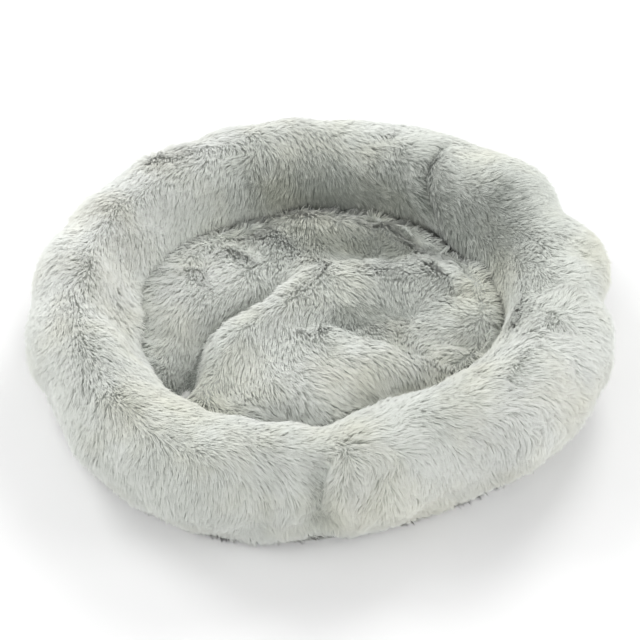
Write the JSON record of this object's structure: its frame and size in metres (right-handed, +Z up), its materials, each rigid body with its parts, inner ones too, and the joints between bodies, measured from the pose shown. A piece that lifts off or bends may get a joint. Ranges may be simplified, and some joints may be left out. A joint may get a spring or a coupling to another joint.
{
  "type": "pet cushion bed",
  "caption": "Oval nest bed for a small pet: a fat plush bolster round a sleeping well, a padded base and a loose, removable inner cushion.",
  "frame": {"origin": "on the floor, under the middle of the bed's outline", "axes": "+X along the longer side to the right, +Y towards the back of the bed, +Z up"},
  "size_m": [0.4998, 0.454, 0.102],
  "materials": {
    "plush": "long soft pile, pale grey with a faint green cast",
    "base_cloth": "plain woven polyester, matt grey",
    "fibre_filling": "white polyester wadding",
    "sewing_thread": "grey polyester thread"
  },
  "bodies": {
    "bed": {"bottom_panel": "base_cloth", "base_filling": "fibre_filling", "floor_liner": "base_cloth", "rim_filling": "fibre_filling", "rim_cover_right": "plush", "rim_cover_left": "plush", "rim_front_seam_stitching": "sewing_thread", "rim_back_seam_stitching": "sewing_thread", "outer_hem_stitching": "sewing_thread", "inner_hem_stitching": "sewing_thread"},
    "cushion": {"cushion_underside": "base_cloth", "cushion_side_band": "plush", "cushion_top_panel": "plush", "cushion_filling": "fibre_filling", "cushion_lower_seam_stitching": "sewing_thread", "cushion_upper_seam_stitching": "sewing_thread"}
  },
  "joints": [
    {"name": "cushion_lift", "type": "slide", "parent": "bed", "child": "cushion", "axis": [0, 0, 1], "range_m": [0, 0.15]}
  ]
}
